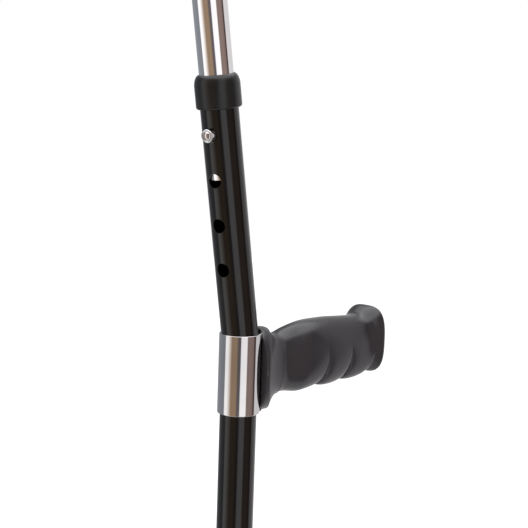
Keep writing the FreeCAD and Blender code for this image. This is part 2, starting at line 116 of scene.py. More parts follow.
def ramp(tree, source, stops):
    node = tree.nodes.new("ShaderNodeValToRGB")
    elements = node.color_ramp.elements
    while len(elements) < len(stops):
        elements.new(0.5)
    for element, (at, colour) in zip(elements, stops):
        element.position = at
        element.color = (*colour, 1.0)
    tree.links.new(source, node.inputs["Fac"])
    return node.outputs["Color"]


def span(tree, source, low, high, from_low=0.0, from_high=1.0):
    node = tree.nodes.new("ShaderNodeMapRange")
    node.inputs["From Min"].default_value = from_low
    node.inputs["From Max"].default_value = from_high
    node.inputs["To Min"].default_value = low
    node.inputs["To Max"].default_value = high
    tree.links.new(source, node.inputs["Value"])
    return node.outputs["Result"]


def bump(tree, shader, height, distance, strength=1.0):
    node = tree.nodes.new("ShaderNodeBump")
    node.inputs["Distance"].default_value = distance
    node.inputs["Strength"].default_value = strength
    tree.links.new(height, node.inputs["Height"])
    tree.links.new(node.outputs["Normal"], shader.inputs["Normal"])


def add(tree, a, b, weight=1.0):
    node = tree.nodes.new("ShaderNodeMath")
    node.operation = "MULTIPLY_ADD"
    tree.links.new(b, node.inputs[0])
    node.inputs[1].default_value = weight
    tree.links.new(a, node.inputs[2])
    return node.outputs[0]


def edge_wear(tree, low, high):
    """0 on flats, rising to 1 on convex edges."""
    geometry = tree.nodes.new("ShaderNodeNewGeometry")
    return span(tree, geometry.outputs["Pointiness"], 0.0, 1.0, low, high)


def mix_colour(tree, fac, a, b):
    node = tree.nodes.new("ShaderNodeMix")
    node.data_type = "RGBA"
    tree.links.new(fac, node.inputs["Factor"])
    for socket, value in ((node.inputs["A"], a), (node.inputs["B"], b)):
        if hasattr(value, "links"):
            tree.links.new(value, socket)
        else:
            socket.default_value = (*value, 1.0)
    return node.outputs["Result"]


# ---- Materials -------------------------------------------------------------------------------------

def metal(name, dark, light, rough_low, rough_high, grain=(1, 1, 1), grain_scale=900.0, relief=0.000004):
    """Polished or plated metal: a base colour that varies slightly, fine drawn grain and smudges."""
    mat, tree, shader = new_material(name)
    shader.inputs["Metallic"].default_value = 1.0
    smudge = noise(tree, 38.0, 5.0)
    fine = noise(tree, grain_scale, 3.0, grain)
    tree.links.new(ramp(tree, smudge, [(0.3, dark), (0.7, light)]), shader.inputs["Base Color"])
    rough = span(tree, smudge, rough_low, rough_high, 0.3, 0.72)
    tree.links.new(rough, shader.inputs["Roughness"])
    bump(tree, shader, fine, relief, 0.35)
    return mat


def anodised_black():
    """Dyed and sealed aluminium: nearly black, with the clear oxide's gloss, bare where edges are rubbed."""
    mat, tree, shader = new_material("anodised_black_gloss")
    cloud = noise(tree, 26.0, 5.0)
    fine = noise(tree, 1400.0, 2.0, (1, 1, 0.04))
    base = ramp(tree, cloud, [(0.25, (0.0026, 0.0021, 0.0018)), (0.75, (0.0048, 0.0038, 0.0032))])
    worn = edge_wear(tree, 0.56, 0.70)
    tree.links.new(mix_colour(tree, worn, base, (0.09, 0.085, 0.08)), shader.inputs["Base Color"])
    shader.inputs["IOR"].default_value = 1.46
    tree.links.new(span(tree, cloud, 0.10, 0.17, 0.3, 0.7), shader.inputs["Roughness"])
    bump(tree, shader, fine, 0.000003, 0.25)
    return mat


def moulded(name, dark, light, rough_low, rough_high, grain_mm=0.45, relief=0.00002, worn=(0.05, 0.05, 0.052),
            ior=1.5):
    """Satin moulded plastic, vinyl or rubber with a fine spark-eroded grain."""
    mat, tree, shader = new_material(name)
    cloud = noise(tree, 30.0, 5.0)
    grain = noise(tree, 1000.0 / grain_mm, 2.0, roughness=0.6)
    pores = noise(tree, 330.0, 3.0)
    base = ramp(tree, cloud, [(0.28, dark), (0.74, light)])
    edges = edge_wear(tree, 0.55, 0.70)
    tree.links.new(mix_colour(tree, edges, base, worn), shader.inputs["Base Color"])
    shader.inputs["IOR"].default_value = ior
    rough = add(tree, span(tree, cloud, rough_low, rough_high, 0.3, 0.7), grain, 0.05)
    tree.links.new(rough, shader.inputs["Roughness"])
    bump(tree, shader, add(tree, grain, pores, 0.5), relief, 0.4)
    return mat


MATERIALS = {
    "anodised_black": anodised_black(),
    "polished_aluminium": metal("polished_aluminium_tube", (0.80, 0.79, 0.795), (0.86, 0.85, 0.855), 0.045, 0.085,
                                (1, 1, 0.03), 1300.0),
    "polished_steel": metal("polished_steel_plate", (0.62, 0.61, 0.61), (0.70, 0.69, 0.69), 0.05, 0.10),
    "zinc_steel": metal("zinc_plated_steel", (0.42, 0.42, 0.41), (0.62, 0.61, 0.58), 0.25, 0.42,
                        grain_scale=500.0, relief=0.00001),
    "spring_steel": metal("blued_spring_steel", (0.16, 0.17, 0.19), (0.30, 0.30, 0.32), 0.2, 0.35),
    "brass_insert": metal("turned_brass", (0.62, 0.45, 0.18), (0.78, 0.60, 0.28), 0.18, 0.32),
    "black_nylon": moulded("satin_black_nylon", (0.004, 0.0038, 0.0039), (0.0075, 0.0071, 0.0073),
                           0.24, 0.34, ior=1.42),
    "grip_plastic": moulded("satin_charcoal_grip", (0.0175, 0.0158, 0.0180), (0.0250, 0.0228, 0.0262),
                            0.16, 0.24, ior=1.42),
    "cuff_vinyl": moulded("dipped_black_vinyl", (0.009, 0.0088, 0.0095), (0.016, 0.0155, 0.017), 0.28, 0.42, 0.7,
                          0.00004),
    "tip_rubber": moulded("matte_black_rubber", (0.014, 0.0135, 0.013), (0.028, 0.027, 0.026), 0.58, 0.78, 0.8,
                          0.00006, (0.09, 0.088, 0.085)),
}
SLOTS = {s["node"]: s["material_slot"] for s in frame["record"]["subparts"]}


# ---- Mesh helpers ------------------------------------------------------------------------------------

def make_object(name, verts, faces, to_row, slot, sharp_deg=38.0):
    mesh = bpy.data.meshes.new(name)
    mesh.from_pydata([to_row @ Vector(v) for v in verts], [], faces)
    mesh.validate()
    obj = bpy.data.objects.new(name, mesh)
    bpy.context.scene.collection.objects.link(obj)
    dress(obj, slot, sharp_deg)
    return obj


def dress(obj, slot, sharp_deg=38.0):
    mesh = obj.data
    scratch = bmesh.new()
    scratch.from_mesh(mesh)
    bmesh.ops.remove_doubles(scratch, verts=scratch.verts, dist=1e-7)
    bmesh.ops.recalc_face_normals(scratch, faces=scratch.faces)
    scratch.to_mesh(mesh)
    scratch.free()
    mesh.shade_smooth()
    mesh.set_sharp_from_angle(angle=math.radians(sharp_deg))
    mesh.materials.clear()
    mesh.materials.append(MATERIALS[slot])


def stand_in(obj, body, *nodes):
    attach(obj, body)
    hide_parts(*nodes)


def arc(cr, cz, radius, start_deg, end_deg, steps=8):
    """Points of an arc in an (r, z) outline, about (cr, cz)."""
    angles = [math.radians(start_deg + (end_deg - start_deg) * i / steps) for i in range(steps + 1)]
    return [(cr + radius * math.cos(a), cz + radius * math.sin(a)) for a in angles]


def lathe(name, outline, to_row, slot, segments=96, sharp_deg=38.0):
    """Turned piece about local Z from a closed (r, z) outline; points on the axis close it."""
    verts, faces, rows = [], [], []
    for r, z in outline:
        if r < 1e-6:
            rows.append([len(verts)] * segments)
            verts.append((0, 0, z))
            continue
        rows.append(list(range(len(verts), len(verts) + segments)))
        verts += [(r * math.cos(2 * math.pi * i / segments), r * math.sin(2 * math.pi * i / segments), z)
                  for i in range(segments)]
    pairs = list(zip(rows, rows[1:] + rows[:1]))
    if outline[0][0] < 1e-6 and outline[-1][0] < 1e-6:
        pairs = pairs[:-1]
    for low, high in pairs:
        for i in range(segments):
            j = (i + 1) % segments
            ring = []
            for v in (low[i], low[j], high[j], high[i]):
                if v not in ring:
                    ring.append(v)
            if len(ring) > 2:
                faces.append(ring)
    return make_object(name, verts, faces, to_row, slot, sharp_deg)


def cut(obj, cutters, slot, sharp_deg=38.0):
    """Takes the cutters out of obj and keeps the result as its mesh."""
    for cutter in cutters:
        step = obj.modifiers.new("cut", "BOOLEAN")
        step.solver = "EXACT"
        step.object = cutter
    bpy.context.view_layer.update()
    graph = bpy.context.evaluated_depsgraph_get()
    result = bpy.data.meshes.new_from_object(obj.evaluated_get(graph))
    obj.modifiers.clear()
    obj.data = result
    for cutter in cutters:
        bpy.data.objects.remove(cutter)
    dress(obj, slot, sharp_deg)


def rod(radius, length, start, direction, segments=64):
    """Plain cutter cylinder in row metres; radius, length and start are in mm of the row frame."""
    turn = direction.to_track_quat("Z", "Y").to_matrix().to_4x4()
    to_row = Matrix.Translation(start) @ turn @ Matrix.Scale(MM, 4)
    return lathe("cutter", [(0, 0), (radius, 0), (radius, length), (0, length)], to_row, "zinc_steel", segments)


def round_normals(obj, axis_of, limit=0.86):
    """Gives the walls of a round tube the true normals of its cylinder, so that its reflections run straight."""
    mesh = obj.data
    normals = []
    for poly in mesh.polygons:
        for index in poly.vertices:
            point = mesh.vertices[index].co
            radial = (point - axis_of(point)).normalized()
            side = radial.dot(poly.normal)
            if abs(side) > limit:
                normals.append(radial if side > 0 else -radial)
            else:
                normals.append(poly.normal)
    mesh.normals_split_custom_set([tuple(n) for n in normals])


# ---- Tubes -------------------------------------------------------------------------------------------

def straight_axis(base, direction):
    return lambda point: base + direction * (point - base).dot(direction)


def bent_axis(point):
    """Nearest point of the outer tube's centre line: straight, one arc, straight."""
    tangent = BEND_R * MM * math.tan(LEAN / 2)
    if point.z < BEND.z - tangent:
        return Vector((0, 0, point.z))
    if (point - BEND).dot(UP) > tangent:
        return straight_axis(BEND, UP)(point)
    centre = BEND + Vector((-BEND_R * MM, 0, -tangent))
    flat = Vector((point.x - centre.x, 0, point.z - centre.z)).normalized()
    return centre + flat * BEND_R * MM


def bent_centre_line(low_z):
    """(point, direction) rings along the outer tube, in row metres."""
    tangent = BEND_R * MM * math.tan(LEAN / 2)
    rings = [(Vector((0, 0, z)), Vector((0, 0, 1))) for z in np.linspace(low_z, BEND.z - tangent, 60)]
    centre = BEND + Vector((-BEND_R * MM, 0, -tangent))
    steps = 16
    for i in range(1, steps):
        a = LEAN * i / steps
        rings.append((centre + Vector((math.cos(a), 0, math.sin(a))) * BEND_R * MM,
                      Vector((-math.sin(a), 0, math.cos(a)))))
    rings += [(BEND + UP * s, UP) for s in np.linspace(tangent, OUTER_UP * MM, 20)]
    return rings


def tube(name, rings, r_out, r_in, slot, lip=0.25, segments=128):
    """Tube wall along rings of (centre, direction), both ends rounded off by a small lip."""
    side = Vector((0, 1, 0))
    outside = [(c, d, r_out * MM) for c, d in rings]
    inside = [(c, d, r_in * MM) for c, d in reversed(rings)]
    outside[0] = (rings[0][0] + rings[0][1] * lip * MM, rings[0][1], r_out * MM)
    outside[-1] = (rings[-1][0] - rings[-1][1] * lip * MM, rings[-1][1], r_out * MM)
    start = (*rings[0], (r_out - lip) * MM)
    end = (*rings[-1], (r_out - lip) * MM)
    loops = [start] + outside + [end] + inside
    verts, faces = [], []
    for centre, direction, radius in loops:
        ahead = side.cross(direction)
        for i in range(segments):
            a = 2 * math.pi * i / segments
            verts.append(centre + (ahead * math.cos(a) + side * math.sin(a)) * radius)
    count = len(loops)
    for row in range(count):
        nxt = (row + 1) % count
        for i in range(segments):
            j = (i + 1) % segments
            faces.append((row * segments + i, row * segments + j, nxt * segments + j, nxt * segments + i))
    return make_object(name, verts, faces, Matrix.Identity(4), slot)


def make_outer_tube():
    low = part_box("outer_tube")[0][2]
    obj = tube("bent_outer_tube", bent_centre_line(low), OUTER_R, OUTER_R - OUTER_WALL, "anodised_black")
    leg_button = leg_button_base()
    cutters = []
    for i in range(UPPER_HOLES):
        cutters.append(rod(HOLE_R, 20, BEND + UP * (BUTTON_UP - i * PITCH) * MM, BUTTON_OUT_UPPER))
    for i in range(-LEG_HOLES_BELOW, LEG_HOLES_ABOVE + 1):
        cutters.append(rod(HOLE_R, 20, Vector((0, 0, leg_button.z + i * PITCH * MM)), BUTTON_OUT_LEG))
    cut(obj, cutters, "anodised_black")
    round_normals(obj, bent_axis)
    stand_in(obj, "shaft", "outer_tube")


def make_inner_tubes():
    rings = [(BEND + UP * s * MM, UP) for s in np.linspace(FOREARM_LOW, FOREARM_TOP, 24)]
    obj = tube("forearm_tube_polished", rings, INNER_R, INNER_R - INNER_WALL, "polished_aluminium")
    cutters = [rod(BUTTON_R + 0.1, 20, BEND + UP * BUTTON_UP * MM, BUTTON_OUT_UPPER),
               rod(3.0, 40, PIVOT - Vector((0, 20 * MM, 0)), Vector((0, 1, 0)))]
    cut(obj, cutters, "polished_aluminium")
    round_normals(obj, straight_axis(BEND, UP))
    stand_in(obj, "forearm_section", "forearm_tube")

    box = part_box("leg_tube")
    rings = [(Vector((0, 0, z)), Vector((0, 0, 1))) for z in np.linspace(box[0][2], box[1][2], 40)]
    obj = tube("leg_tube_polished", rings, INNER_R, INNER_R - INNER_WALL, "polished_aluminium")
    leg_button = leg_button_base()
    cut(obj, [rod(BUTTON_R + 0.1, 20, Vector((0, 0, leg_button.z)), BUTTON_OUT_LEG)], "polished_aluminium")
    round_normals(obj, straight_axis(Vector((0, 0, 0)), Vector((0, 0, 1))))
    stand_in(obj, "leg_section", "leg_tube")


# ---- Collars, buttons, tip -----------------------------------------------------------------------------

COLLAR_R = 12.75
COLLAR_LOW, COLLAR_TOP = 133.7, 152.3
COLLAR_SHOULDER = 145.7                                          # where the barrel turns into the shoulder


def collar_outline():
    """Half section of a collar: rounded foot, straight barrel, full round shoulder down to the inner tube."""
    lip_r = INNER_R + 0.08
    foot = 1.3
    outline = [(OUTER_R, COLLAR_LOW + 0.6), (OUTER_R + 0.5, COLLAR_LOW)]
    outline += arc(COLLAR_R - foot, COLLAR_LOW + foot, foot, -90, 0, 7)
    rise, reach, steps = COLLAR_TOP - COLLAR_SHOULDER, COLLAR_R - lip_r, 18
    for i in range(1, steps):
        a = math.pi / 2 * i / steps
        outline.append((lip_r + reach * math.cos(a), COLLAR_SHOULDER + rise * math.sin(a)))
    outline += [(lip_r + 0.12, COLLAR_TOP), (lip_r, COLLAR_TOP - 0.25), (lip_r, OUTER_UP), (OUTER_R, OUTER_UP)]
    return outline


def make_collars():
    upper = lathe("upper_collar_moulding", collar_outline(), TO_UPPER, "black_nylon", 128, 50)
    stand_in(upper, "shaft", "upper_collar")
    flip = Matrix.Translation((0, 0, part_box("outer_tube")[0][2])) @ Matrix.Rotation(math.pi, 4, "X")
    to_row = flip @ Matrix.Scale(MM, 4) @ Matrix.Translation((0, 0, -OUTER_UP))
    lower = lathe("leg_collar_moulding", collar_outline(), to_row, "black_nylon", 128, 50)
    stand_in(lower, "shaft", "leg_collar")


def button_outline():
    """Pressed stud: flange inside the tube, straight neck, raised rim, a fine groove, then a crown."""
    shoulder = math.sqrt((INNER_R - INNER_WALL) ** 2 - FLANGE_R ** 2) - 0.2
    rim, groove_r, dome = BUTTON_TIP - 1.0, 2.55, 1.15
    outline = [(0, shoulder - FLANGE_T), (FLANGE_R, shoulder - FLANGE_T), (FLANGE_R, shoulder),
               (BUTTON_R, shoulder)]
    outline += arc(BUTTON_R - 0.55, rim - 0.55, 0.55, 0, 100, 9)
    outline += [(groove_r + 0.25, rim - 0.18), (groove_r, rim - 0.32)]
    crown_r = (groove_r ** 2 + dome ** 2) / (2 * dome)
    half = math.degrees(math.asin(groove_r / crown_r))
    outline += arc(0, BUTTON_TIP - crown_r, crown_r, 90 - half, 90, 12)
    outline[-1] = (0, BUTTON_TIP)
    return outline


def leg_button_base():
    low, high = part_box("leg_button")
    return Vector((0, 0, (low[2] + high[2]) / 2))


def make_buttons():
    for name, base, out, node in (
            ("forearm_snap_stud", BEND + UP * BUTTON_UP * MM, BUTTON_OUT_UPPER, "forearm_button"),
            ("leg_snap_stud", leg_button_base(), BUTTON_OUT_LEG, "leg_button")):
        to_row = Matrix.Translation(base) @ out.to_track_quat("Z", "Y").to_matrix().to_4x4() @ Matrix.Scale(MM, 4)
        stud = lathe(name, button_outline(), to_row, "polished_steel", 64, 45)
        stand_in(stud, node, node)


# ---- Strap clamp ------------------------------------------------------------------------------------------

STRAP_T = 1.5
EAR_MID_Y = 6.85                # middle of each ear's plate
EAR_REACH = 32.0
EAR_HALF = 11.0
EAR_TAPER = (10.5, 19.0)        # the ears lose their full height between these distances forward


def strap_path():
    """Middle line of the strip, seen from above: one ear, round the back of the upright, the other ear."""
    ring_r = STRAP_R - STRAP_T / 2
    bend_r = 1.6
    # the rounded corner touches the ring from inside its own bend and runs into the flat ear
    corner_y = EAR_MID_Y + bend_r
    corner_x = math.sqrt((ring_r + bend_r) ** 2 - corner_y ** 2)
    meet = math.atan2(corner_y, corner_x)
    half = [(x, EAR_MID_Y, 0.0, 1.0) for x in np.linspace(EAR_REACH, corner_x + 0.6, 22)]
    for a in np.linspace(-math.pi / 2, -math.pi + meet, 10):
        half.append((corner_x + bend_r * math.cos(a), corner_y + bend_r * math.sin(a), -math.cos(a), -math.sin(a)))
    for a in np.linspace(meet, math.pi, 70)[1:]:
        half.append((ring_r * math.cos(a), ring_r * math.sin(a), math.cos(a), math.sin(a)))
    mirror = [(x, -y, nx, -ny) for x, y, nx, ny in reversed(half[:-1])]
    return half + mirror


def make_strap():
    """Polished strip swept round the path, its edges rounded and its ears tapered."""
    edge = 0.35
    middle = (STRAP_TOP + STRAP_LOW) / 2
    full = (STRAP_TOP - STRAP_LOW) / 2
    verts, faces, size = [], [], 0
    for x, y, nx, ny in strap_path():
        fade = float(smoothstep(EAR_TAPER[0], EAR_TAPER[1], x))
        tall = full + (EAR_HALF - full) * fade
        section = []
        flat = tall - 2.2 * edge
        for side, up, start in ((1, 1, 0), (-1, 1, 90), (-1, -1, 180), (1, -1, 270)):
            section += arc(side * (STRAP_T / 2 - edge), up * (tall - edge), edge, start, start + 90, 3)
            if side != up:
                # close to each corner, so that the long faces stay flat in the light
                section += [(side * STRAP_T / 2, up * flat), (side * STRAP_T / 2, -up * flat)]
        size = len(section)
        verts += [(x + nx * off, y + ny * off, middle + z) for off, z in section]
    rows = len(verts) // size
    for row in range(rows - 1):
        for i in range(size):
            j = (i + 1) % size
            faces.append((row * size + i, row * size + j, (row + 1) * size + j, (row + 1) * size + i))
    faces.append(tuple(range(size)))
    faces.append(tuple(range((rows - 1) * size, rows * size))[::-1])
    strap = make_object("handle_strap", verts, faces, TO_BEND, "polished_steel", 35)
    stand_in(strap, "shaft", "handle_clamp")


# ---- Hand grip ------------------------------------------------------------------------------------------

def smooth_curve(*stations):
    """Smooth curve that keeps its rises and falls, through (place, value) stations."""
    xs, ys = np.array(stations, float).T
    secant = np.diff(ys) / np.diff(xs)
    slopes = np.zeros_like(ys)
    for i in range(1, len(xs) - 1):
        if secant[i - 1] * secant[i] > 0:
            before, after = xs[i] - xs[i - 1], xs[i + 1] - xs[i]
            slopes[i] = (after * secant[i - 1] + before * secant[i]) / (before + after)
    slopes[0], slopes[-1] = secant[0], secant[-1]

    def value(x):
        i = int(np.clip(np.searchsorted(xs, x) - 1, 0, len(xs) - 2))
        h = xs[i + 1] - xs[i]
        t = min(max((x - xs[i]) / h, 0.0), 1.0)
        return ((2 * t ** 3 - 3 * t ** 2 + 1) * ys[i] + (t ** 3 - 2 * t ** 2 + t) * h * slopes[i]
                + (3 * t ** 2 - 2 * t ** 3) * ys[i + 1] + (t ** 3 - t ** 2) * h * slopes[i + 1])
    return value


def smoothstep(a, b, x):
    t = np.clip((np.asarray(x, float) - a) / (b - a), 0, 1)
    return t * t * (3 - 2 * t)


# Heights are above the bend, distances forward of the upright's axis.
GRIP_TOP = smooth_curve((24, 0.6), (28, 0.9), (36, 3.2), (46, 5.2), (60, 6.2), (74, 6.1), (88, 5.2), (99, 4.6),
                        (104, 5.4), (108, 7.8), (111, 9.4), (113, 9.8), (114.2, 9.4))
GRIP_LOW = smooth_curve((24, -36.6), (28, -34.9), (34, -33.8), (47, -33.7), (63, -33.3), (86, -32.8), (100, -31.8),
                        (107.5, -30.6), (111, -32.2), (113, -32.9), (114.2, -32.6))
GRIP_WIDE = smooth_curve((24, 11.7), (28, 11.5), (38, 12.6), (50, 13.8), (64, 14.1), (78, 13.9), (92, 13.4),
                         (101, 13.0), (106, 13.6), (110, 15.1), (113, 15.8), (114.2, 15.5))
GRIP_SQUARE = smooth_curve((24, 2.45), (32, 2.25), (60, 2.2), (98, 2.3), (110, 2.9), (114.2, 3.1))
NECK_X = 26.0
GRIP_END_X, GRIP_CROWN = 114.2, 1.7
LOBES = ((20.0, 63.2), (63.2, 85.3), (85.3, 107.5))
FIRST_LOBE_RISE = (25.0, 47.0)
LOBE_DEEP = 3.0
FLANGE_MID_Z, FLANGE_HALF_Z, FLANGE_HALF_Y, FLANGE_SQUARE = -18.6, 24.5, 15.0, 2.45
FLANGE_BACK_X = 8.4                                              # how far round the strap its edges reach
SADDLE_BACK_R = STRAP_R + 0.35
SADDLE_FRONT_R = STRAP_R + 6.0
FLANGE_FLARE = 1.9                                               # how late the skirt turns outward
PLUG_R = 8.5


def rounded(power, wave):
    return np.sign(wave) * np.abs(wave) ** (2 / power)


def finger_lobes(x):
    """How far the underside swells at x, between the creases that part the fingers."""
    for start, end in LOBES:
        place = (x - start) / (end - start)
        if 0 < place < 1:
            swell = (1 - abs(2 * place ** 0.76 - 1) ** 2.3) ** 0.62
            return swell * float(smoothstep(*FIRST_LOBE_RISE, x))
    return 0.0


def grip_row(x, angles):
    """(x, y, z) points of the grip's skin round the section at x."""
    top, low, wide, square = GRIP_TOP(x), GRIP_LOW(x), GRIP_WIDE(x), GRIP_SQUARE(x)
    middle, tall = (top + low) / 2, (top - low) / 2
    y = wide * rounded(square, np.cos(angles))
    z = middle + tall * rounded(square, np.sin(angles))
    swell = LOBE_DEEP * finger_lobes(x) * smoothstep(-0.35, 1.0, (middle - z) / tall) ** 1.3
    high = smoothstep(0.25, 0.72, (z - middle) / tall) * smoothstep(0.15, 0.6, np.abs(y) / wide)
    dent = 1.1 * math.exp(-((x - 40) / 10) ** 2) * high
    reach = np.sqrt(y ** 2 + (z - middle) ** 2)
    grow = 1 + (swell - dent) / reach
    return np.full_like(angles, x), y * grow, middle + (z - middle) * grow


def grip_end_rows(angles):
    """Crowned end face, from the plug's recess out to the rim."""
    rim = grip_row(GRIP_END_X, angles)
    seat_y, seat_z = PLUG_R * np.cos(angles), GRIP_AXIS_Z + PLUG_R * np.sin(angles)
    rows = [(np.full_like(angles, GRIP_END_X - 1.5), seat_y, seat_z)]
    for t in np.linspace(0, 1, 16)[:-1]:
        swell = GRIP_END_X + GRIP_CROWN * math.sqrt(1 - t ** 2.6)
        rows.append((np.full_like(angles, swell), seat_y + (rim[1] - seat_y) * t, seat_z + (rim[2] - seat_z) * t))
    return rows


def grip_flange_rows(angles):
    """Skirt that flares from the neck to the saddle plate, round its edge and back under it."""
    _, neck_y, neck_z = grip_row(NECK_X, angles)
    edge_y = FLANGE_HALF_Y * rounded(FLANGE_SQUARE, np.cos(angles))
    edge_z = FLANGE_MID_Z + FLANGE_HALF_Z * rounded(FLANGE_SQUARE, np.sin(angles))
    front = np.sqrt(SADDLE_FRONT_R ** 2 - edge_y ** 2)
    back = np.sqrt(np.maximum(SADDLE_BACK_R ** 2 - edge_y ** 2, FLANGE_BACK_X ** 2))
    rows = []
    for t in np.linspace(0, 1, 30)[1:]:
        flare = t ** FLANGE_FLARE
        rows.append((NECK_X + (front - NECK_X) * t, neck_y + (edge_y - neck_y) * flare,
                     neck_z + (edge_z - neck_z) * flare))
    edge = 0.9
    out_y, out_z = np.cos(angles), np.sin(angles)
    for a in np.linspace(0, math.pi / 2, 6):
        rows.append((back + edge * (1 - math.sin(a)), edge_y - edge * (1 - math.cos(a)) * out_y,
                     edge_z - edge * (1 - math.cos(a)) * out_z))
    for share in np.linspace(0.92, 0.2, 16):
        y = edge_y * share
        saddle = np.sqrt(np.maximum(SADDLE_BACK_R ** 2 - y ** 2, FLANGE_BACK_X ** 2))
        rows.append((saddle, y, FLANGE_MID_Z + (edge_z - FLANGE_MID_Z) * share))
    return rows


def make_grip():
    turns = 200
    angles = np.linspace(0, 2 * math.pi, turns, endpoint=False)
    rows = grip_end_rows(angles)
    for x in np.concatenate([np.linspace(GRIP_END_X, 99, 50), np.linspace(98.6, NECK_X, 180)]):
        rows.append(grip_row(x, angles))
    rows += grip_flange_rows(angles)
    verts = [(float(x), float(y), float(z)) for xs, ys, zs in rows for x, y, z in zip(xs, ys, zs)]
    faces = []
    for row in range(len(rows) - 1):
        for i in range(turns):
            j = (i + 1) % turns
            faces.append((row * turns + i, row * turns + j, (row + 1) * turns + j, (row + 1) * turns + i))
    first, last, base = len(verts), len(verts) + 1, (len(rows) - 1) * turns
    verts.append((GRIP_END_X - 1.5, 0.0, GRIP_AXIS_Z))
    verts.append((SADDLE_BACK_R, 0.0, FLANGE_MID_Z))
    for i in range(turns):
        j = (i + 1) % turns
        faces += [(first, j, i), (last, base + i, base + j)]
    grip = make_object("finger_groove_grip", verts, faces, TO_BEND, "grip_plastic", 50)
    stand_in(grip, "shaft", "hand_grip")
    make_grip_plug()


def make_grip_plug():
    """Press-in plug that covers the grip screw, with a fine step round its face."""
    low, face = -1.2, GRIP_CROWN - 0.1
    outline = [(0, low), (PLUG_R - 0.15, low), (PLUG_R - 0.15, face - 0.7)]
    outline += arc(PLUG_R - 0.65, face - 0.5, 0.5, 0, 90, 5)
    outline += [(6.2, face), (6.0, face - 0.35), (5.6, face - 0.35), (5.4, face), (0, face + 0.25)]
    to_row = TO_BEND @ Matrix.Translation((GRIP_END_X, 0, GRIP_AXIS_Z)) @ Matrix.Rotation(math.pi / 2, 4, "Y")
    stand_in(lathe("grip_end_button", outline, to_row, "grip_plastic", 96, 40), "shaft", "grip_end_plug")


# ---- Cuff -------------------------------------------------------------------------------------------------

CUFF_HALF = 31.0
CUFF_MOUTH = math.radians(100.0)
COVER_IN, COVER_OUT = 44.0, 49.0
WEB_X, WEB_T = 17.0, 2.0


def make_cuff_cover():
    """Dipped cover: a C of even wall with a rolled bead at its rims and rounded corners at the mouth."""
    middle_r, bead_half, wall_half = (COVER_IN + COVER_OUT) / 2, (COVER_OUT - COVER_IN) / 2, 2.05
    run = (2 * math.pi - CUFF_MOUTH) * middle_r
    lip, corner_r, around = 2.5, 11.0, 96
    ends = [lip * (1 - math.cos(a)) for a in np.linspace(0, math.pi / 2, 7)]
    ends += list(np.linspace(3.0, 14.0, 12))
    places = ends + list(np.linspace(15.5, run - 15.5, 110)) + [run - p for p in reversed(ends)]
    verts, faces = [], []
    for place in places:
        turn = CUFF_MOUTH / 2 + place / middle_r
        to_end = min(place, run - place)
        tall = CUFF_HALF - corner_r * (1 - math.sqrt(1 - (1 - min(to_end / corner_r, 1.0)) ** 2))
        tall = max(tall, CUFF_HALF - corner_r + 0.001)
        cap = math.sqrt(1 - (1 - min(to_end / lip, 1.0)) ** 2)
        for i in range(around):
            a = 2 * math.pi * i / around
            z = tall * float(rounded(5.0, np.sin(a)))
            rim = math.exp(-((tall - abs(z)) / 4.2) ** 2)
            mouth = math.exp(-(to_end / 5.0) ** 2)
            half = wall_half + (bead_half - wall_half) * max(rim, mouth)
            radius = middle_r + half * cap * float(rounded(3.0, np.cos(a)))
            verts.append((CUFF_AXIS_X + radius * math.cos(turn), radius * math.sin(turn), PIVOT_UP + z))
    rows = len(places)
    for row in range(rows - 1):
        for i in range(around):
            j = (i + 1) % around
            faces.append((row * around + i, row * around + j, (row + 1) * around + j, (row + 1) * around + i))
    faces.append(tuple(range(around)))
    faces.append(tuple(range((rows - 1) * around, rows * around))[::-1])
    cover = make_object("moulded_cuff", verts, faces, TO_UPPER, "cuff_vinyl", 60)
    stand_in(cover, "cuff", "cuff_cover")


def rounded_copy(name, node, body, width):
    """A CAD node's own shape with its sharp edges broken."""
    source = frame["nodes"][node]
    obj = bpy.data.objects.new(name, source.data.copy())
    obj.matrix_world = source.matrix_world
    bpy.context.scene.collection.objects.link(obj)
    scratch = bmesh.new()
    scratch.from_mesh(obj.data)
    bmesh.ops.remove_doubles(scratch, verts=scratch.verts, dist=1e-6)
    bmesh.ops.dissolve_limit(scratch, angle_limit=math.radians(1.0), verts=scratch.verts, edges=scratch.edges)
    sharp = [e for e in scratch.edges if len(e.link_faces) == 2 and e.calc_face_angle(0) > math.radians(35)]
    bmesh.ops.bevel(scratch, geom=sharp, offset=width * MM, segments=2, profile=0.5, affect="EDGES",
                    clamp_overlap=True)
    scratch.to_mesh(obj.data)
    scratch.free()
    dress(obj, SLOTS[node], 30)
    stand_in(obj, body, node)


def rivet_outline(radius, height):
    """Low round head on the XY plane."""
    crown_r = (radius ** 2 + height ** 2) / (2 * height)
    half = math.degrees(math.asin(radius / crown_r))
    points = [(0, -0.4), (radius, -0.4)] + arc(0, height - crown_r, crown_r, 90 - half, 90, 10)
    points[-1] = (0, height)
    return points


def make_cuff_rivets():
    rivets = []
    for dz in (-10.5, 10.5):
        for x, turn, radius, height in ((WEB_X - 0.01, -math.pi / 2, 3.8, 1.2), (24.01, math.pi / 2, 4.6, 1.0)):
            place = TO_UPPER @ Matrix.Translation((x, 0, PIVOT_UP + dz)) @ Matrix.Rotation(turn, 4, "Y")
            rivets.append(lathe("rivet_head", rivet_outline(radius, height), place, "polished_steel", 48, 40))
    heads = join("cuff_rivet_heads", rivets)
    stand_in(heads, "cuff", "cuff_rivets")


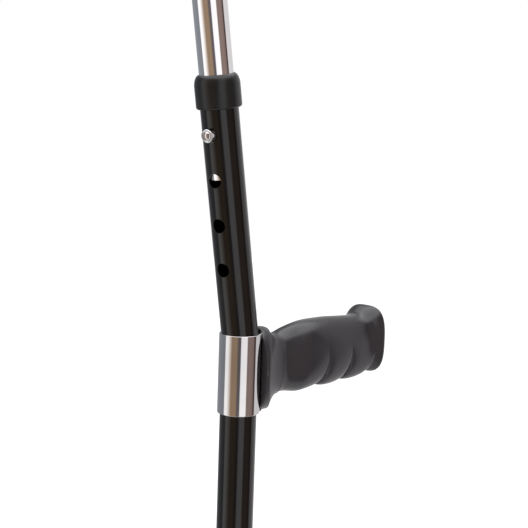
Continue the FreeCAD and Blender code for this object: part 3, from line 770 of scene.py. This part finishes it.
def join(name, objects):
    scratch = bmesh.new()
    for obj in objects:
        scratch.from_mesh(obj.data)
    mesh = bpy.data.meshes.new(name)
    scratch.to_mesh(mesh)
    scratch.free()
    slot_material = objects[0].data.materials[0]
    for obj in objects:
        bpy.data.objects.remove(obj)
    whole = bpy.data.objects.new(name, mesh)
    bpy.context.scene.collection.objects.link(whole)
    mesh.materials.append(slot_material)
    mesh.shade_smooth()
    mesh.set_sharp_from_angle(angle=math.radians(40))
    return whole


def make_bolt():
    """Button-head bolt through the cuff's pivot, with a hexagon socket."""
    face = 12.8
    head_r, head_h = 5.6, 3.2
    crown = arc(head_r - 2.4, head_h - 2.4, 2.4, 0, 90, 9)
    outline = [(0, -31.5), (2.6, -31.5), (3.0, -31.1), (3.0, 0), (head_r - 0.2, 0), (head_r, 0.2)] + crown
    outline += [(0, head_h)]
    place = TO_UPPER @ Matrix.Translation((0, -face, PIVOT_UP)) @ Matrix.Rotation(math.pi / 2, 4, "X")
    bolt = lathe("pivot_bolt_head", outline, place, "polished_steel", 96, 35)
    key = lathe("key", [(0, 1.2), (2.05, 1.2), (2.05, 6), (0, 6)], place, "polished_steel", 6, 35)
    cut(bolt, [key], "polished_steel", 35)
    stand_in(bolt, "forearm_section", "cuff_pivot_bolt")


def make_top_plug():
    """Plug in the tube's end: a thin brim on the tube and a low domed head."""
    top = FOREARM_TOP
    outline = [(0, top - 12), (8.3, top - 12), (8.5, top - 11), (8.5, top)]
    outline += [(INNER_R - 0.2, top), (INNER_R, top + 0.2)]
    crown_r = (INNER_R ** 2 + 2.6 ** 2) / (2 * 2.6)
    half = math.degrees(math.asin((INNER_R - 0.1) / crown_r))
    outline += arc(0, top + 3.0 - crown_r, crown_r, 90 - half, 90, 14)
    outline[-1] = (0, top + 3.0)
    stand_in(lathe("tube_end_plug", outline, TO_UPPER, "black_nylon", 96, 40), "forearm_section", "top_plug")


# ---- Tip --------------------------------------------------------------------------------------------------

def tip_outline():
    """Half section of the ferrule: grooved sole, bell, ribbed neck, beaded mouth, blind socket."""
    sole_r, socket_r = 24.0, INNER_R
    outline = [(0, 0), (7.0, 0)]
    for inner in (7.0, 12.4, 17.8):
        outline += [(inner, 2.5), (inner + 2.4, 2.5), (inner + 2.4, 0)]
    outline += [(sole_r - 1.0, 0)] + arc(sole_r - 1.0, 1.0, 1.0, -90, 0, 5)
    outline += arc(sole_r - 1.4, 6.4, 1.4, 0, 62, 6)
    # the bell's hollow flank is part of a circle that runs out into the neck
    steps = 22
    for i in range(1, steps + 1):
        t = i / steps
        radius = 22.9 + (14.6 - 22.9) * (1 - (1 - t) ** 2.3)
        outline.append((radius, 7.7 + 20.0 * t ** 1.35))
    neck = (30.5, 34.5, 38.5, 42.5, 46.5)
    for z in neck:
        outline += [(14.5, z - 1.1), (14.9, z - 0.6), (14.9, z + 0.2), (14.4, z + 0.7)]
    outline += [(14.2, 51.5), (14.4, 52.2)] + arc(13.9, 53.4, 1.1, -60, 0, 4) + arc(13.6, 58.6, 1.4, 0, 90, 7)
    outline += [(socket_r + 1.0, 60.0), (socket_r + 0.15, 59.2), (socket_r, 58.2), (socket_r, 11.0), (0, 11.0)]
    return outline


def make_tip():
    stand_in(lathe("rubber_ferrule", tip_outline(), TO_FLOOR, "tip_rubber", 128, 40), "leg_section", "rubber_tip")


# ---- Stage: floor, studio surround, lights, camera ------------------------------------------------------

CAMERA_FROM_BEND = Vector((-0.480906, -0.481315, 0.131505))
CAMERA_YAW, CAMERA_PITCH, CAMERA_ROLL = (math.radians(v) for v in (44.0, -7.306, 1.91))
CAMERA_LENS = 81.888


def make_camera():
    """Camera that looks past the grip's right side, a little down and tilted."""
    data = bpy.data.cameras.new("camera")
    data.lens = CAMERA_LENS
    data.sensor_width = 36.0
    data.clip_start = 0.01
    data.clip_end = 100.0
    level = math.cos(CAMERA_PITCH)
    forward = Vector((level * math.cos(CAMERA_YAW), level * math.sin(CAMERA_YAW), math.sin(CAMERA_PITCH)))
    flat_right = Vector((math.sin(CAMERA_YAW), -math.cos(CAMERA_YAW), 0))
    flat_up = flat_right.cross(forward)
    right = flat_right * math.cos(CAMERA_ROLL) + flat_up * math.sin(CAMERA_ROLL)
    turn = Matrix((right, right.cross(forward), -forward)).transposed()
    camera = bpy.data.objects.new("camera", data)
    camera.matrix_world = Matrix.Translation(BEND + CAMERA_FROM_BEND) @ turn.to_4x4()
    bpy.context.scene.collection.objects.link(camera)
    bpy.context.scene.camera = camera


def make_floor():
    """Pale floor just under the lowest reach of the tip, so that no setting of the leg sinks into it."""
    mesh = bpy.data.meshes.new("floor")
    half = 6.0
    z = JOINTS["leg_slide"]["range_m"][0] - 0.0005
    mesh.from_pydata([(-half, -half, z), (half, -half, z), (half, half, z), (-half, half, z)], [], [(0, 1, 2, 3)])
    floor = bpy.data.objects.new("floor", mesh)
    bpy.context.scene.collection.objects.link(floor)
    mat, tree, shader = new_material("pale_floor")
    shader.inputs["Base Color"].default_value = (0.9, 0.9, 0.9, 1)
    shader.inputs["Roughness"].default_value = 0.9
    shader.inputs["Specular IOR Level"].default_value = 0.0
    shader.inputs["Emission Color"].default_value = (1, 1, 1, 1)
    shader.inputs["Emission Strength"].default_value = 0.25
    mesh.materials.append(mat)
    floor.visible_glossy = False


# The studio round the crutch as polished metal mirrors it: bearing from the camera's own, degrees
# to its right, and the light there.
SURROUND = (
    (-180.0, (0.34, 0.36, 0.39)),
    (-86.0, (0.25, 0.265, 0.29)),
    (-82.0, (1.25, 1.25, 1.25)),
    (-67.0, (1.25, 1.22, 1.20)),
    (-52.0, (0.72, 0.62, 0.55)),
    (-44.0, (0.36, 0.25, 0.17)),
    (-16.0, (0.36, 0.25, 0.165)),
    (-9.0, (0.16, 0.13, 0.13)),
    (-5.0, (0.14, 0.125, 0.13)),
    (4.0, (0.14, 0.125, 0.13)),
    (8.0, (1.2, 1.18, 1.22)),
    (38.0, (1.25, 1.22, 1.22)),
    (43.0, (0.27, 0.20, 0.175)),
    (62.0, (0.30, 0.22, 0.20)),
    (81.0, (0.24, 0.17, 0.155)),
    (86.0, (0.07, 0.045, 0.042)),
    (93.0, (0.07, 0.045, 0.042)),
    (98.0, (0.80, 0.78, 0.79)),
    (180.0, (0.72, 0.70, 0.71)),
)
SURROUND_R = 1.9
SURROUND_Z = 0.87
OVERHEAD_LIGHT = (3.3, 3.3, 3.45)
UNDER_LIGHT = (0.75, 0.75, 0.76)


def make_surround():
    """Ball of soft boxes and dark flags round the crutch, which only glossy surfaces see."""
    scratch = bmesh.new()
    bmesh.ops.create_uvsphere(scratch, u_segments=180, v_segments=90, radius=SURROUND_R)
    mesh = bpy.data.meshes.new("surround")
    scratch.to_mesh(mesh)
    scratch.free()
    ball = bpy.data.objects.new("surround", mesh)
    ball.location = (0, 0, SURROUND_Z)
    bpy.context.scene.collection.objects.link(ball)
    mat = bpy.data.materials.new("surround_light")
    mat.use_nodes = True
    tree = mat.node_tree
    tree.nodes.clear()
    coord = tree.nodes.new("ShaderNodeTexCoord")
    turn = tree.nodes.new("ShaderNodeMapping")
    # the bearing 0 is towards the camera
    toward = math.atan2(CAMERA_FROM_BEND.y, CAMERA_FROM_BEND.x)
    turn.inputs["Rotation"].default_value = (0, 0, -toward)
    parts = tree.nodes.new("ShaderNodeSeparateXYZ")
    angle = tree.nodes.new("ShaderNodeMath")
    angle.operation = "ARCTAN2"
    tree.links.new(coord.outputs["Object"], turn.inputs["Vector"])
    tree.links.new(turn.outputs["Vector"], parts.inputs["Vector"])
    tree.links.new(parts.outputs["Y"], angle.inputs[0])
    tree.links.new(parts.outputs["X"], angle.inputs[1])
    place = span(tree, angle.outputs[0], 0.0, 1.0, -math.pi, math.pi)
    colour = ramp(tree, place, [((bearing + 180) / 360, light) for bearing, light in SURROUND])
    high = span(tree, parts.outputs["Z"], 0.0, 1.0, 0.62 * SURROUND_R, 0.84 * SURROUND_R)
    deep = span(tree, parts.outputs["Z"], 0.0, 1.0, -0.65 * SURROUND_R, -0.95 * SURROUND_R)
    colour = mix_colour(tree, high, colour, OVERHEAD_LIGHT)
    colour = mix_colour(tree, deep, colour, UNDER_LIGHT)
    emit = tree.nodes.new("ShaderNodeEmission")
    tree.links.new(colour, emit.inputs["Color"])
    emit.inputs["Strength"].default_value = 1.0
    out = tree.nodes.new("ShaderNodeOutputMaterial")
    tree.links.new(emit.outputs["Emission"], out.inputs["Surface"])
    mesh.materials.append(mat)
    ball.visible_camera = False
    ball.visible_diffuse = False
    ball.visible_shadow = False
    ball.visible_transmission = False


def make_world():
    world = bpy.data.worlds.new("studio")
    world.use_nodes = True
    world.node_tree.nodes["Background"].inputs["Color"].default_value = (1, 1, 1, 1)
    world.node_tree.nodes["Background"].inputs["Strength"].default_value = 1.0
    bpy.context.scene.world = world


def make_lights():
    for name, place, size, power in (
            ("key", (-1.6, -0.4, 2.2), 1.2, 16.0),
            ("fill", (0.6, -1.9, 1.3), 1.4, 8.0),
            ("back", (1.6, 1.2, 1.9), 1.2, 10.0)):
        data = bpy.data.lights.new(name, "AREA")
        data.shape = "SQUARE"
        data.size = size
        data.energy = power
        light = bpy.data.objects.new(name, data)
        light.location = place
        aim = Vector((0.03, 0, BEND.z)) - Vector(place)
        light.rotation_euler = aim.to_track_quat("-Z", "Y").to_euler()
        light.visible_glossy = False
        bpy.context.scene.collection.objects.link(light)


def dress_frame_nodes():
    """Every CAD node that stays visible gets its slot's procedural material."""
    for node, obj in frame["nodes"].items():
        material = MATERIALS[SLOTS[node]]
        if not obj.material_slots:
            obj.data.materials.append(material)
        for slot in obj.material_slots:
            slot.material = material


make_camera()
make_floor()
make_surround()
make_world()
make_lights()
dress_frame_nodes()
make_outer_tube()
make_inner_tubes()
make_collars()
make_buttons()
make_strap()
make_grip()
make_cuff_cover()
make_cuff_rivets()
make_bolt()
make_top_plug()
rounded_copy("cuff_fork", "cuff_bracket", "cuff", 0.45)
rounded_copy("pivot_nut", "cuff_pivot_nut", "forearm_section", 0.35)
make_tip()

scene = bpy.context.scene
scene.view_settings.view_transform = "Standard"
scene.view_settings.look = "None"
